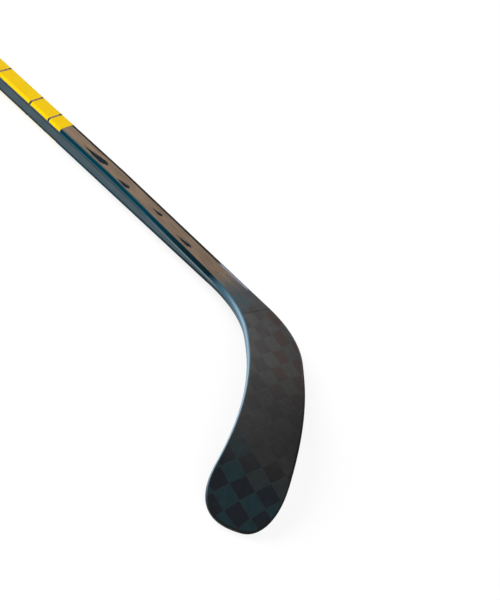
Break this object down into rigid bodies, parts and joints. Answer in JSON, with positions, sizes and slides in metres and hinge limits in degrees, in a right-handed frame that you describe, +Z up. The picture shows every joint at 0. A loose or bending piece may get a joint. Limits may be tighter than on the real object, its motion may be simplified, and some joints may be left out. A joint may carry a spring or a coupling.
{
  "type": "ice hockey stick",
  "caption": "Left-hand ice hockey stick: long hollow tapered shaft with a butt plug and a curved, laminated, foam-cored blade on a tenon, lying with its backhand face up.",
  "frame": {"origin": "centre of the footprint, on the floor that the stick lies on", "axes": "+X along the shaft from the butt to the blade, +Z up from the floor; the toe points to -Y"},
  "size_m": [1.7058, 0.2634, 0.0323],
  "materials": {
    "shaft": "satin lacquer over carbon fibre",
    "plug": "matte moulded",
    "blade_laminate": "clear resin over carbon weave",
    "hosel_core": "raw moulded composite",
    "foam": "cut foam"
  },
  "bodies": {
    "root": {"shaft_tube": "shaft", "end_plug": "plug", "tenon": "hosel_core", "backhand_laminate": "blade_laminate", "forehand_laminate": "blade_laminate", "lower_core": "foam", "lower_rib": "hosel_core", "middle_core": "foam", "upper_rib": "hosel_core", "upper_core": "foam", "toe_core": "foam"}
  },
  "joints": []
}
